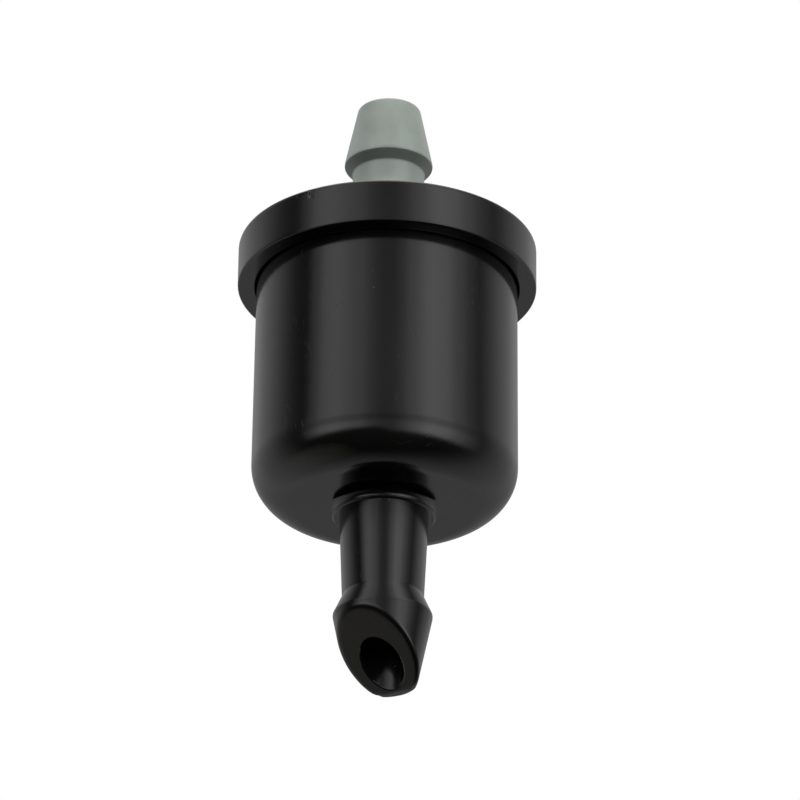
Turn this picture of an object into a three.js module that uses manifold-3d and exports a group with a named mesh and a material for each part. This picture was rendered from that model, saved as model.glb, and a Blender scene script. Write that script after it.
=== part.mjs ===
// A pressure-compensating, anti-drain drip emitter with a barbed inlet and a barbed outlet.
// Millimetres, +Z up. The axis of the emitter is Z, the inlet barb points down, and the origin is on the
// axis in the flare of the inlet stem just under the collar, where the supply pipe's wall seats.
import * as THREE from "three";
import { mergeVertices } from "three/addons/utils/BufferGeometryUtils.js";
import Module from "manifold-3d";

const wasm = await Module();
wasm.setup();

// ---- Driving dimensions ----

const OUTER_SIDES = 48; // facets around the pieces that show
const INNER_SIDES = 24; // facets around the pieces inside
const RING_SIDES = 8; // facets around the section of an O-ring
const FIT_GAP = 0.06; // radial gap of the stacked pieces to the cavity wall
const STACK_GAP = 0.02; // between faces that lie on each other

const BORE_R = 1.12; // water way through the inlet and the outlet

// Inlet barb, below the collar
const INLET_TIP_R = 1.8;
const INLET_TIP_Z = -8.98;
const INLET_BARB_R = 2.55;
const INLET_BARB_Z = -5.2;
// The inlet stem is oval: deeper from front to back, along Y, than it is wide
const INLET_STEM_END_R = 2.1; // half its width
const INLET_STEM_END_Z = -4.25;
const INLET_STEM_TOP_R = 2.3;
const STEM_DEPTH_R = 2.47; // half its depth
const FLARE_Z = -1.5; // where its front and back start to curve out to the collar
const FLARE_REACH = 0.1;
const BARB_EDGE = 0.12; // height of the blunt edge of a barb

// Slanted cut that makes the inlet tip a piercing point
const CUT_AXIS_Z = -7.84; // where the cut plane crosses the axis
const CUT_TILT = 48.2; // degrees that the cut face looks down from level
const CUT_TURN = 34.3; // degrees that the cut face looks round from -Y towards -X

// Collar and bowl
const COLLAR_R = 2.68;
const COLLAR_LOW_Z = 0.24;
const COLLAR_TOP_Z = 0.4;
const COLLAR_EDGE = 0.05;
const NECK_R = 2.4; // foot of the hollow fillet between the collar and the bowl
const BOWL_LOW_R = 6.9; // where the rounded corner meets the straight wall
const BOWL_TOP_R = 6.86;
const BOWL_FLOOR_Z = 0.84; // flat underside of the bowl
const BOWL_CORNER_R = 2.3;
const BOWL_RIM_Z = 14.1;
const BEAD_R = 7.06; // snap bead under the rim
const BEAD_Z = 13.97;
const BEAD_LOW_Z = 13.8; // where the wall starts to slope out to the bead
const CAVITY_R = 5.7;
const CAVITY_LOW_R = 5.3;
const CAVITY_FLOOR_Z = 1.6;
const LEDGE_Z = 5.0; // step in the cavity that the valve guide sits on
const SEAT_LIP_Z = 2.0;
const SEAT_LIP_R = 1.45;

// Cap ring
const CAP_R = 7.86;
const CAP_TOP_Z = 15.9;
const CAP_PLATE_Z = 14.9; // underside of the top plate
const CAP_BOTTOM_Z = 13.48;
const CAP_BOTTOM_EDGE = 0.08;
const CAP_HOLE_R = 3.05;
const SKIRT_R = 6.96; // lip that snaps under the bead
const SKIRT_LIP_Z = 13.75;
const SKIRT_GROOVE_R = 7.14;
const SKIRT_GROOVE_Z = 13.9;
const CAP_TOP_EDGE = 0.3;
const NOTCH = { width: 0.25, depth: 0.14, height: 0.55, turn: 30.4 }; // pry notch in the top edge

// Outlet fitting
const FLANGE_R = 5.5;
const FLANGE_Z = 14.0;
const FLANGE_TOP_Z = 14.82;
const BOSS_R = 2.9; // fills the cap's hole, flush with its top
const OUTLET_ROOT_R = 2.3;
const OUTLET_ROOT_TOP_Z = 18.2;
const OUTLET_STEM_LOW_Z = 19.2;
const OUTLET_STEM_R = 1.9;
const OUTLET_STEM_END_Z = 20.3;
const OUTLET_BARB_R = 2.34;
const OUTLET_BARB_Z = 20.8;
const OUTLET_TIP_R = 1.66;
const OUTLET_TIP_Z = 24.2;
const OUTLET_TIP_EDGE = 0.15;

// Seal rings
const CAP_SEAL_R = 6.16;
const CAP_SEAL_WIRE_R = 0.38;
const OUTLET_SEAL_R = 3.8;
const OUTLET_SEAL_WIRE_R = 0.25;
const OUTLET_SEAL_GROOVE = { depth: 0.44, side: 0.06 }; // in the cap, side room each way

// Anti-drain check
const SEAL_DISC_R = 1.7;
const SEAL_DISC_HEIGHT = 0.6;
const PLUNGER_HEAD_R = 2.2;
const PLUNGER_HEAD_LOW_Z = 2.25;
const PLUNGER_HEAD_TOP_Z = 3.2;
const PLUNGER_TRAVEL = 0.7;
const PLUNGER_STEM_R = 0.7;
const PLUNGER_STEM_TOP_Z = 6.2;
const PLUNGER_STOP_R = 0.94; // thicker foot of the stem, whose shoulder stops on the guide's hub
const GUIDE_HUB_R = 1.5;
const GUIDE_HUB_BORE_R = 0.78;
const GUIDE_HUB_LOW_Z = 5.4;
const GUIDE_HUB_TOP_Z = 6.3;
const GUIDE_RING_INNER_R = 4.4;
const GUIDE_RING_TOP_Z = 5.9;
const GUIDE_SPOKES = 4;
const GUIDE_SPOKE_WIDTH = 0.8;
const SPRING_COIL_R = 1.12;
const SPRING_WIRE_R = 0.1;
const SPRING_TURNS = 4.5;

// Filter
const FILTER_LOW_Z = 5.95;
const FILTER_TOP_Z = 7.25;
const FILTER_RING_INNER_R = 4.7;
const FILTER_MESH_Z = 7.0; // underside of the woven disc, high enough to clear the lifted stem
const FILTER_MESH_THICKNESS = 0.12;
const FILTER_BAR_WIDTH = 0.6;
const GASKET_INNER_R = 4.7;
const GASKET_TOP_Z = 7.55;

// Labyrinth core
const CORE_TOP_Z = 12.1;
const CORE_WELL_R = 2.5;
const CHANNEL_DEPTH = 0.75;
const CHANNEL_HEIGHT = 1.25;
const CHANNEL_LOW_ZS = [8.2, 10.4]; // lower side of each turn of the channel
const TEETH_PER_TURN = 22;
const TOOTH_WIDTH = 0.42;
const TOOTH_HEIGHT = 0.78;
const PASSAGE_WIDTH = 1.1;

// Pressure-compensating part
const DIAPHRAGM_R = 4.3;
const DIAPHRAGM_THICKNESS = 0.55;
const CHAMBER_R = 3.3;
const SEAT_TOP_Z = 13.95;
const DIAPHRAGM_TRAVEL = 0.25; // from the well's rim up to the ledge around the chamber
const THROTTLE_GAP = 0.3; // from the lifted diaphragm to the metering lip
const METER_LIP_HEIGHT = 0.3;
const METER_LIP_R = 1.0;
const EXIT_HOLE_R = 0.45;
const METER_GROOVE = { width: 0.24, depth: 0.1 };

// ---- Materials ----

const material = (color, roughness, metalness = 0) =>
  new THREE.MeshStandardMaterial({ color, roughness, metalness });

const blackPlastic = material(0x101110, 0.22);
const greyPlastic = material(0x9aa39b, 0.42);
const whitePlastic = material(0xd9d6cc, 0.45);
const amberSilicone = material(0xc9a27a, 0.5);
const blackRubber = material(0x191919, 0.7);
const springSteel = material(0xb9bcc0, 0.28, 1);
const steelMesh = material(0x9fa2a6, 0.35, 1);

// ---- Solid helpers ----

const point = (r, z) => new THREE.Vector2(r, z);

// A closed profile in the (radius, height) half plane turned about Z, given anticlockwise.
function turned(points, sides) {
  const profile = [...points];
  const last = points[points.length - 1];
  if (points[0].x > 0 || last.x > 0) profile.push(points[0].clone());
  return new THREE.LatheGeometry(profile, sides).rotateX(Math.PI / 2);
}

// The manifold-3d solid of a closed three.js geometry.
function solid(geometry) {
  const bare = geometry.clone();
  bare.deleteAttribute("normal");
  bare.deleteAttribute("uv");
  const merged = mergeVertices(bare, 1e-4);
  const mesh = new wasm.Mesh({
    numProp: 3,
    vertProperties: merged.attributes.position.array,
    triVerts: new Uint32Array(merged.index.array),
  });
  return new wasm.Manifold(mesh);
}

// The three.js geometry of a manifold-3d solid.
function geometryOf(shape) {
  const mesh = shape.getMesh();
  const geometry = new THREE.BufferGeometry();
  geometry.setAttribute("position", new THREE.BufferAttribute(mesh.vertProperties, 3));
  geometry.setIndex(new THREE.BufferAttribute(mesh.triVerts, 1));
  geometry.computeVertexNormals();
  return geometry;
}

// A box centred on the X axis at a radius, then turned about Z by an angle.
function radialBox(radialSize, width, height, radius, z, angle) {
  return solid(
    new THREE.BoxGeometry(radialSize, width, height)
      .translate(radius, 0, z)
      .rotateZ(angle),
  );
}

function named(name, geometry, look) {
  const mesh = new THREE.Mesh(geometry, look);
  mesh.name = name;
  return mesh;
}

// ---- Pieces that show ----

// Points along the side of the inlet stem, from behind the barb up to the collar.
function stemSide(flareSteps) {
  const height = COLLAR_LOW_Z - INLET_STEM_END_Z;
  const heights = [INLET_STEM_END_Z];
  for (let i = 0; i <= flareSteps; i++) {
    heights.push(FLARE_Z + ((COLLAR_LOW_Z - FLARE_Z) * i) / flareSteps);
  }
  return heights.map((z) => {
    const share = (z - INLET_STEM_END_Z) / height;
    return point(INLET_STEM_END_R + (INLET_STEM_TOP_R - INLET_STEM_END_R) * share, z);
  });
}

// Stretches the round stem of a turned body along Y to its depth, with the hollow flare at its top.
function makeStemOval(geometry) {
  const position = geometry.attributes.position;
  for (let i = 0; i < position.count; i++) {
    const [x, y, z] = [position.getX(i), position.getY(i), position.getZ(i)];
    const r = Math.hypot(x, y);
    const onStem = z > INLET_STEM_END_Z - 0.01 && z < COLLAR_LOW_Z + 0.01;
    if (!onStem || r > INLET_STEM_TOP_R + 0.01) continue;
    const share = Math.max(0, (z - FLARE_Z) / (COLLAR_LOW_Z - FLARE_Z));
    position.setY(i, (y * (STEM_DEPTH_R + FLARE_REACH * share * share)) / r);
  }
  return geometry;
}

// The hollow fillet over the collar, from the collar's top out to the bowl's flat underside.
function neckFillet(steps) {
  const radius = BOWL_FLOOR_Z - COLLAR_TOP_Z;
  return Array.from({ length: steps + 1 }, (_, i) => {
    const angle = ((i / steps) * Math.PI) / 2;
    return point(
      NECK_R + radius * (1 - Math.cos(angle)),
      COLLAR_TOP_Z + radius * Math.sin(angle),
    );
  });
}

// The rounded corner of the bowl, from its flat underside up to the straight wall.
function bowlCorner(steps) {
  return Array.from({ length: steps + 1 }, (_, i) => {
    const angle = ((i / steps) * Math.PI) / 2;
    return point(
      BOWL_LOW_R - BOWL_CORNER_R * (1 - Math.sin(angle)),
      BOWL_FLOOR_Z + BOWL_CORNER_R * (1 - Math.cos(angle)),
    );
  });
}

// A slab whose upper face is the cut plane of the inlet tip; all of it lies on the removed side.
function tipCutter() {
  const size = 12;
  const tilt = THREE.MathUtils.degToRad(CUT_TILT);
  const turn = THREE.MathUtils.degToRad(CUT_TURN);
  const outward = new THREE.Vector3(
    -Math.sin(turn) * Math.cos(tilt),
    -Math.cos(turn) * Math.cos(tilt),
    -Math.sin(tilt),
  );
  const slab = new THREE.BoxGeometry(size, size, size).translate(0, 0, size / 2);
  const toOutward = new THREE.Quaternion().setFromUnitVectors(new THREE.Vector3(0, 0, 1), outward);
  return solid(slab.applyQuaternion(toOutward).translate(0, 0, CUT_AXIS_Z));
}

function bodyGeometry() {
  const profile = [
    point(BORE_R, INLET_TIP_Z),
    point(INLET_TIP_R, INLET_TIP_Z),
    point(INLET_BARB_R, INLET_BARB_Z - BARB_EDGE),
    point(INLET_BARB_R, INLET_BARB_Z),
    ...stemSide(4),
    point(COLLAR_R, COLLAR_LOW_Z),
    point(COLLAR_R, COLLAR_TOP_Z - COLLAR_EDGE),
    point(COLLAR_R - COLLAR_EDGE, COLLAR_TOP_Z),
    ...neckFillet(4),
    ...bowlCorner(8),
    point(BOWL_TOP_R, BEAD_LOW_Z),
    point(BEAD_R, BEAD_Z),
    point(BOWL_TOP_R, BOWL_RIM_Z),
    point(CAVITY_R, BOWL_RIM_Z),
    point(CAVITY_R, LEDGE_Z),
    point(CAVITY_LOW_R, LEDGE_Z),
    point(CAVITY_LOW_R, CAVITY_FLOOR_Z + 1.1),
    point(CAVITY_LOW_R - 1.1, CAVITY_FLOOR_Z),
    point(SEAT_LIP_R + 0.2, CAVITY_FLOOR_Z),
    point(SEAT_LIP_R, SEAT_LIP_Z),
    point(BORE_R, SEAT_LIP_Z),
  ];
  const uncut = makeStemOval(turned(profile, OUTER_SIDES));
  return geometryOf(solid(uncut).subtract(tipCutter()));
}

function capGeometry() {
  const grooveHalf = OUTLET_SEAL_WIRE_R + OUTLET_SEAL_GROOVE.side;
  const profile = [
    point(SKIRT_R, CAP_BOTTOM_Z),
    point(CAP_R - CAP_BOTTOM_EDGE, CAP_BOTTOM_Z),
    point(CAP_R, CAP_BOTTOM_Z + CAP_BOTTOM_EDGE),
    point(CAP_R, CAP_TOP_Z - CAP_TOP_EDGE),
    point(CAP_R - 0.09, CAP_TOP_Z - 0.09),
    point(CAP_R - CAP_TOP_EDGE, CAP_TOP_Z),
    point(CAP_HOLE_R, CAP_TOP_Z),
    point(CAP_HOLE_R, CAP_PLATE_Z),
    point(OUTLET_SEAL_R - grooveHalf, CAP_PLATE_Z),
    point(OUTLET_SEAL_R - grooveHalf, CAP_PLATE_Z + OUTLET_SEAL_GROOVE.depth),
    point(OUTLET_SEAL_R + grooveHalf, CAP_PLATE_Z + OUTLET_SEAL_GROOVE.depth),
    point(OUTLET_SEAL_R + grooveHalf, CAP_PLATE_Z),
    point(SKIRT_GROOVE_R, CAP_PLATE_Z),
    point(SKIRT_GROOVE_R, SKIRT_GROOVE_Z),
    point(SKIRT_R, SKIRT_LIP_Z),
  ];
  const turn = THREE.MathUtils.degToRad(-90 - NOTCH.turn);
  const notch = radialBox(
    2 * NOTCH.depth, NOTCH.width, 2 * NOTCH.height, CAP_R, CAP_TOP_Z, turn,
  );
  return geometryOf(solid(turned(profile, OUTER_SIDES)).subtract(notch));
}

function outletFittingGeometry() {
  const profile = [
    point(BORE_R, FLANGE_Z),
    point(FLANGE_R, FLANGE_Z),
    point(FLANGE_R, FLANGE_TOP_Z),
    point(BOSS_R, FLANGE_TOP_Z),
    point(BOSS_R, CAP_TOP_Z),
    point(OUTLET_ROOT_R, CAP_TOP_Z),
    point(OUTLET_ROOT_R, OUTLET_ROOT_TOP_Z),
    point(OUTLET_STEM_R, OUTLET_STEM_LOW_Z),
    point(OUTLET_STEM_R, OUTLET_STEM_END_Z),
    point(OUTLET_BARB_R, OUTLET_BARB_Z),
    point(OUTLET_BARB_R, OUTLET_BARB_Z + BARB_EDGE),
    point(OUTLET_TIP_R, OUTLET_TIP_Z - OUTLET_TIP_EDGE),
    point(OUTLET_TIP_R - OUTLET_TIP_EDGE, OUTLET_TIP_Z),
    point(BORE_R, OUTLET_TIP_Z),
  ];
  return turned(profile, OUTER_SIDES);
}

// ---- Seals ----

function sealRingGeometry(coilR, wireR, z) {
  return new THREE.TorusGeometry(coilR, wireR, RING_SIDES, INNER_SIDES).translate(0, 0, z);
}

function flatRingGeometry(innerR, outerR, lowZ, topZ) {
  const profile = [
    point(innerR, lowZ),
    point(outerR, lowZ),
    point(outerR, topZ),
    point(innerR, topZ),
  ];
  return turned(profile, INNER_SIDES);
}

function discGeometry(r, lowZ, height) {
  return new THREE.CylinderGeometry(r, r, height, INNER_SIDES)
    .rotateX(Math.PI / 2)
    .translate(0, 0, lowZ + height / 2);
}

// ---- Anti-drain check ----

function checkPlungerGeometry() {
  const pocketR = SEAL_DISC_R + STACK_GAP;
  const pocketZ = SEAT_LIP_Z + SEAL_DISC_HEIGHT;
  const stopZ = GUIDE_HUB_LOW_Z - PLUNGER_TRAVEL - STACK_GAP;
  return turned(
    [
      point(0, pocketZ),
      point(pocketR, pocketZ),
      point(pocketR, PLUNGER_HEAD_LOW_Z),
      point(PLUNGER_HEAD_R, PLUNGER_HEAD_LOW_Z),
      point(PLUNGER_HEAD_R, PLUNGER_HEAD_TOP_Z),
      point(PLUNGER_STOP_R, PLUNGER_HEAD_TOP_Z),
      point(PLUNGER_STOP_R, stopZ),
      point(PLUNGER_STEM_R, stopZ),
      point(PLUNGER_STEM_R, PLUNGER_STEM_TOP_Z - 0.15),
      point(PLUNGER_STEM_R - 0.15, PLUNGER_STEM_TOP_Z),
      point(0, PLUNGER_STEM_TOP_Z),
    ],
    INNER_SIDES,
  );
}

class Helix extends THREE.Curve {
  constructor(radius, lowZ, topZ, turns) {
    super();
    Object.assign(this, { radius, lowZ, topZ, turns });
  }

  getPoint(t, target = new THREE.Vector3()) {
    const angle = 2 * Math.PI * this.turns * t;
    const z = this.lowZ + (this.topZ - this.lowZ) * t;
    return target.set(this.radius * Math.cos(angle), this.radius * Math.sin(angle), z);
  }
}

function checkSpringGeometry() {
  const clearance = SPRING_WIRE_R + 0.03;
  const path = new Helix(
    SPRING_COIL_R, PLUNGER_HEAD_TOP_Z + clearance, GUIDE_HUB_LOW_Z - clearance, SPRING_TURNS,
  );
  const section = new THREE.Shape(
    Array.from({ length: 6 }, (_, i) => {
      const angle = (i * Math.PI) / 3;
      return point(SPRING_WIRE_R * Math.cos(angle), SPRING_WIRE_R * Math.sin(angle));
    }),
  );
  return new THREE.ExtrudeGeometry(section, { steps: 72, extrudePath: path });
}

function valveGuideGeometry() {
  let guide = solid(
    flatRingGeometry(GUIDE_RING_INNER_R, CAVITY_R - FIT_GAP, LEDGE_Z, GUIDE_RING_TOP_Z),
  );
  const hub = flatRingGeometry(GUIDE_HUB_BORE_R, GUIDE_HUB_R, GUIDE_HUB_LOW_Z, GUIDE_HUB_TOP_Z);
  guide = guide.add(solid(hub));
  const reach = GUIDE_RING_INNER_R - GUIDE_HUB_R + 0.8;
  const middle = (GUIDE_RING_INNER_R + GUIDE_HUB_R) / 2;
  const height = GUIDE_RING_TOP_Z - GUIDE_HUB_LOW_Z;
  for (let i = 0; i < GUIDE_SPOKES; i++) {
    const angle = (i * 2 * Math.PI) / GUIDE_SPOKES;
    const z = GUIDE_HUB_LOW_Z + height / 2;
    guide = guide.add(radialBox(reach, GUIDE_SPOKE_WIDTH, height, middle, z, angle));
  }
  return geometryOf(guide);
}

// ---- Filter ----

function filterFrameGeometry() {
  const outerR = CAVITY_R - FIT_GAP;
  const meshTopZ = FILTER_MESH_Z + FILTER_MESH_THICKNESS;
  const rim = turned(
    [
      point(FILTER_RING_INNER_R, FILTER_LOW_Z),
      point(outerR, FILTER_LOW_Z),
      point(outerR, FILTER_TOP_Z),
      point(FILTER_RING_INNER_R + 0.3, FILTER_TOP_Z),
      point(FILTER_RING_INNER_R + 0.3, FILTER_MESH_Z - STACK_GAP),
      point(FILTER_RING_INNER_R, FILTER_MESH_Z - STACK_GAP),
    ],
    INNER_SIDES,
  );
  let frame = solid(rim);
  const barHeight = FILTER_TOP_Z - meshTopZ - STACK_GAP;
  const barZ = FILTER_TOP_Z - barHeight / 2;
  for (const angle of [0, Math.PI / 2]) {
    const length = 2 * FILTER_RING_INNER_R + 1;
    frame = frame.add(radialBox(length, FILTER_BAR_WIDTH, barHeight, 0, barZ, angle));
  }
  return geometryOf(frame);
}

// ---- Labyrinth core ----

// Teeth reach in turn from the lower and from the upper side of the channel, so the water zigzags.
function channelTeeth(lowZ, outerR) {
  const teeth = [];
  for (let i = 0; i < TEETH_PER_TURN; i++) {
    const fromBelow = i % 2 === 0;
    const z = fromBelow
      ? lowZ + TOOTH_HEIGHT / 2 - 0.05
      : lowZ + CHANNEL_HEIGHT - TOOTH_HEIGHT / 2 + 0.05;
    const angle = ((i + 1.5) * 2 * Math.PI) / (TEETH_PER_TURN + 2);
    const radius = outerR - CHANNEL_DEPTH / 2 - 0.05;
    teeth.push(radialBox(CHANNEL_DEPTH, TOOTH_WIDTH, TOOTH_HEIGHT, radius, z, angle));
  }
  return teeth;
}

function labyrinthCoreGeometry() {
  const outerR = CAVITY_R - FIT_GAP;
  const channelR = outerR - CHANNEL_DEPTH;
  const channelWalls = CHANNEL_LOW_ZS.flatMap((lowZ) => [
    point(outerR, lowZ),
    point(channelR, lowZ),
    point(channelR, lowZ + CHANNEL_HEIGHT),
    point(outerR, lowZ + CHANNEL_HEIGHT),
  ]);
  const profile = [
    point(CORE_WELL_R, GASKET_TOP_Z),
    point(outerR, GASKET_TOP_Z),
    ...channelWalls,
    point(outerR, CORE_TOP_Z),
    point(CORE_WELL_R, CORE_TOP_Z),
  ];
  let core = solid(turned(profile, INNER_SIDES));
  const stop = (z, height) =>
    radialBox(CHANNEL_DEPTH + 0.1, TOOTH_WIDTH, height, outerR - CHANNEL_DEPTH / 2 - 0.08, z, 0);
  for (const lowZ of CHANNEL_LOW_ZS) {
    for (const tooth of channelTeeth(lowZ, outerR)) core = core.add(tooth);
    core = core.add(stop(lowZ + CHANNEL_HEIGHT / 2, CHANNEL_HEIGHT + 0.1));
  }
  const [firstZ, secondZ] = CHANNEL_LOW_ZS;
  const passages = [
    { lowZ: GASKET_TOP_Z - 1, topZ: firstZ + 0.3, side: 1 }, // in, from the filter
    { lowZ: firstZ + 0.6, topZ: secondZ + 0.3, side: -1 }, // up to the second turn
    { lowZ: secondZ + 0.6, topZ: CORE_TOP_Z + 1, side: 1 }, // out, to the chamber
  ];
  for (const { lowZ, topZ, side } of passages) {
    const height = topZ - lowZ;
    const angle = (side * 0.8 * 2 * Math.PI) / (TEETH_PER_TURN + 2);
    const cut = radialBox(
      2 * CHANNEL_DEPTH, PASSAGE_WIDTH / 2, height, outerR, lowZ + height / 2, angle,
    );
    core = core.subtract(cut);
  }
  return geometryOf(core);
}

// ---- Pressure-compensating part ----

// The diaphragm lies loose on the rim of the core's well. Line pressure lifts it against the ledge of
// the metering seat, and bends its middle towards the metering lip.
function diaphragmGeometry() {
  return discGeometry(DIAPHRAGM_R, CORE_TOP_Z + STACK_GAP, DIAPHRAGM_THICKNESS);
}

function meteringSeatGeometry() {
  const outerR = CAVITY_R - FIT_GAP;
  const seatLowZ = CORE_TOP_Z + STACK_GAP;
  const recessTopZ = seatLowZ + DIAPHRAGM_THICKNESS + DIAPHRAGM_TRAVEL + STACK_GAP;
  const lipZ = recessTopZ + THROTTLE_GAP;
  const chamberTopZ = lipZ + METER_LIP_HEIGHT;
  const profile = [
    point(EXIT_HOLE_R, lipZ),
    point(METER_LIP_R, lipZ),
    point(METER_LIP_R, chamberTopZ),
    point(CHAMBER_R, chamberTopZ),
    point(CHAMBER_R, recessTopZ),
    point(DIAPHRAGM_R + 0.08, recessTopZ),
    point(DIAPHRAGM_R + 0.08, seatLowZ),
    point(outerR, seatLowZ),
    point(outerR, SEAT_TOP_Z),
    point(EXIT_HOLE_R, SEAT_TOP_Z),
  ];
  let seat = solid(turned(profile, INNER_SIDES));
  const grooveReach = METER_LIP_R - EXIT_HOLE_R + 0.4;
  seat = seat.subtract(
    radialBox(
      grooveReach, METER_GROOVE.width, 2 * METER_GROOVE.depth,
      (METER_LIP_R + EXIT_HOLE_R) / 2, lipZ, 0,
    ),
  );
  const portReach = outerR - CHAMBER_R + 0.6;
  const portAngle = (0.8 * 2 * Math.PI) / (TEETH_PER_TURN + 2);
  const portHeight = 0.5;
  seat = seat.subtract(
    radialBox(
      portReach, PASSAGE_WIDTH / 2, portHeight,
      CHAMBER_R - 0.3 + portReach / 2, recessTopZ + portHeight / 2, portAngle,
    ),
  );
  return geometryOf(seat);
}

// ---- Assembly ----

const emitter = new THREE.Group();

const checkPlunger = new THREE.Group();
checkPlunger.add(
  named("check_plunger", checkPlungerGeometry(), whitePlastic),
  named("plunger_seal", discGeometry(SEAL_DISC_R, SEAT_LIP_Z, SEAL_DISC_HEIGHT), blackRubber),
);

const shell = new THREE.Group();
shell.add(
  named("body", bodyGeometry(), blackPlastic),
  named("cap", capGeometry(), blackPlastic),
  named("outlet_fitting", outletFittingGeometry(), greyPlastic),
);

const seals = new THREE.Group();
const capSealZ = (BOWL_RIM_Z + CAP_PLATE_Z) / 2;
const outletSealZ = FLANGE_TOP_Z + OUTLET_SEAL_WIRE_R;
seals.add(
  named("cap_seal_ring", sealRingGeometry(CAP_SEAL_R, CAP_SEAL_WIRE_R, capSealZ), blackRubber),
  named(
    "outlet_seal_ring",
    sealRingGeometry(OUTLET_SEAL_R, OUTLET_SEAL_WIRE_R, outletSealZ),
    blackRubber,
  ),
  named(
    "core_gasket",
    flatRingGeometry(GASKET_INNER_R, CAVITY_R - FIT_GAP, FILTER_TOP_Z, GASKET_TOP_Z),
    amberSilicone,
  ),
);

const works = new THREE.Group();
works.add(
  named("check_spring", checkSpringGeometry(), springSteel),
  named("valve_guide", valveGuideGeometry(), whitePlastic),
  named("filter_frame", filterFrameGeometry(), whitePlastic),
  named(
    "filter_mesh",
    discGeometry(FILTER_RING_INNER_R + 0.25, FILTER_MESH_Z, FILTER_MESH_THICKNESS),
    steelMesh,
  ),
  named("labyrinth_core", labyrinthCoreGeometry(), greyPlastic),
  named("diaphragm", diaphragmGeometry(), amberSilicone),
  named("metering_seat", meteringSeatGeometry(), whitePlastic),
);

emitter.add(shell, seals, works, checkPlunger);

export default emitter;
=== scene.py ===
"""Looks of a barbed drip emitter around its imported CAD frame. Lengths are millimetres unless said."""

import math
import bpy
import bmesh
from mathutils import Matrix, Vector


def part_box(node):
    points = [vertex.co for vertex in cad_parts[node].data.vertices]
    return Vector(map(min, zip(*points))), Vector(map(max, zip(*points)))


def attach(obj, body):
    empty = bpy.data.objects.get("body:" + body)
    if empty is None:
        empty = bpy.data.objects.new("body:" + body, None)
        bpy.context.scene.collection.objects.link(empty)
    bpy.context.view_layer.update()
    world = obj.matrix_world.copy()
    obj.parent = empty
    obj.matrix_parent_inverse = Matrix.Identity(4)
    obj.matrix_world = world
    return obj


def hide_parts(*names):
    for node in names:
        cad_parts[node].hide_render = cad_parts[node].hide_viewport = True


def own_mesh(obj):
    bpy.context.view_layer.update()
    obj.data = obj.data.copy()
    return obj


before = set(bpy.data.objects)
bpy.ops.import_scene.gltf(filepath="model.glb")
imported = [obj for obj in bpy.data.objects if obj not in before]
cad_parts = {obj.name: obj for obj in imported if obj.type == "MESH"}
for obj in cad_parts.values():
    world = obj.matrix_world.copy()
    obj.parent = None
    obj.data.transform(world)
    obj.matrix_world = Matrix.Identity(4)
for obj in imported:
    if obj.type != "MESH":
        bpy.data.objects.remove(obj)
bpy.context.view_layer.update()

MM = 0.001  # metres in a millimetre


def box_mm(node):
    """Lowest and highest corner of a CAD node, in millimetres."""
    low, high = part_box(node)
    return low / MM, high / MM


# ---- Dimensions ----

BODY_HIGH = box_mm("body")[1]
CAP_LOW, CAP_HIGH = box_mm("cap")
OUTLET_LOW, OUTLET_HIGH = box_mm("outlet_fitting")

FINE_SIDES = 224  # facets round a turned piece that shows
INNER_SIDES = 96  # facets round a turned piece inside
ROW_STEP = 0.3  # longest stretch of an outline between two rows
FIT_GAP = 0.02  # between two faces that lie on each other

BORE_R = 1.12

INLET_TIP_R = 1.8
INLET_TIP_Z = -8.98
INLET_BARB_R = 2.55
INLET_BARB_Z = -5.2
BARB_EDGE = 0.12
INLET_STEM_END = (2.1, -4.25)
INLET_STEM_TOP_R = 2.3
STEM_DEPTH_R = 2.47  # the stem is oval: deeper from front to back than it is wide
FLARE_Z = -1.5
FLARE_REACH = 0.1

CUT_AXIS_Z = -7.84
CUT_TILT = math.radians(48.2)
CUT_TURN = math.radians(34.3)
CUT_OUTWARD = (
    -math.sin(CUT_TURN) * math.cos(CUT_TILT),
    -math.cos(CUT_TURN) * math.cos(CUT_TILT),
    -math.sin(CUT_TILT),
)
CUT_EDGE = 0.28  # rounding of the outer edge of the slanted face
CUT_BORE_EDGE = 0.06

COLLAR_R = 2.68
COLLAR_LOW_Z = 0.24
COLLAR_TOP_Z = 0.4
COLLAR_TOP_ROUND = 0.05
COLLAR_LOW_EDGE = 0.1  # bevel of its lower edge
NECK_R = 2.4  # foot of the hollow fillet between the collar and the bowl
BOWL_LOW_R = 6.9
BOWL_TOP_R = 6.86
BOWL_FLOOR_Z = 0.84
BOWL_CORNER_R = 2.3
BEAD_R = BODY_HIGH.x
BEAD_Z = 13.97
BEAD_LOW_Z = 13.8
RIM_Z = BODY_HIGH.z
CAVITY_R = 5.7
CAVITY_LOW_R = 5.3
CAVITY_FLOOR_Z = 1.6
CAVITY_CHAMFER = 1.1
LEDGE_Z = 5.0
SEAT_LIP_R = 1.45
SEAT_LIP_Z = 2.0
BORE_TOP_Z = SEAT_LIP_Z - 0.1  # where the bore's rows meet those of the seat lip

CAP_R = CAP_HIGH.x
CAP_TOP_Z = CAP_HIGH.z
CAP_BOTTOM_Z = CAP_LOW.z
CAP_PLATE_Z = 14.9
CAP_HOLE_R = 3.05
SKIRT_R = 6.96
SKIRT_LIP_Z = 13.75
SKIRT_GROOVE_R = 7.14
SKIRT_GROOVE_Z = 13.9
CAP_BOTTOM_ROUND = 0.1
CAP_TOP_ROUND = 0.26
OUTLET_SEAL_R = 3.8
OUTLET_SEAL_GROOVE = (0.31, 0.44)  # half width and depth
NOTCH = {"turn": -120.4, "half_width": 0.13, "depth": 0.13, "height": 0.55, "reach": 0.45}
NOTCH_SIDE = (0.8, 1.3)  # its sides slope between these, in half widths from its middle

FLASH_DIP = 0.96  # an O-ring's section beside its flash line, as a share of its radius

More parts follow.
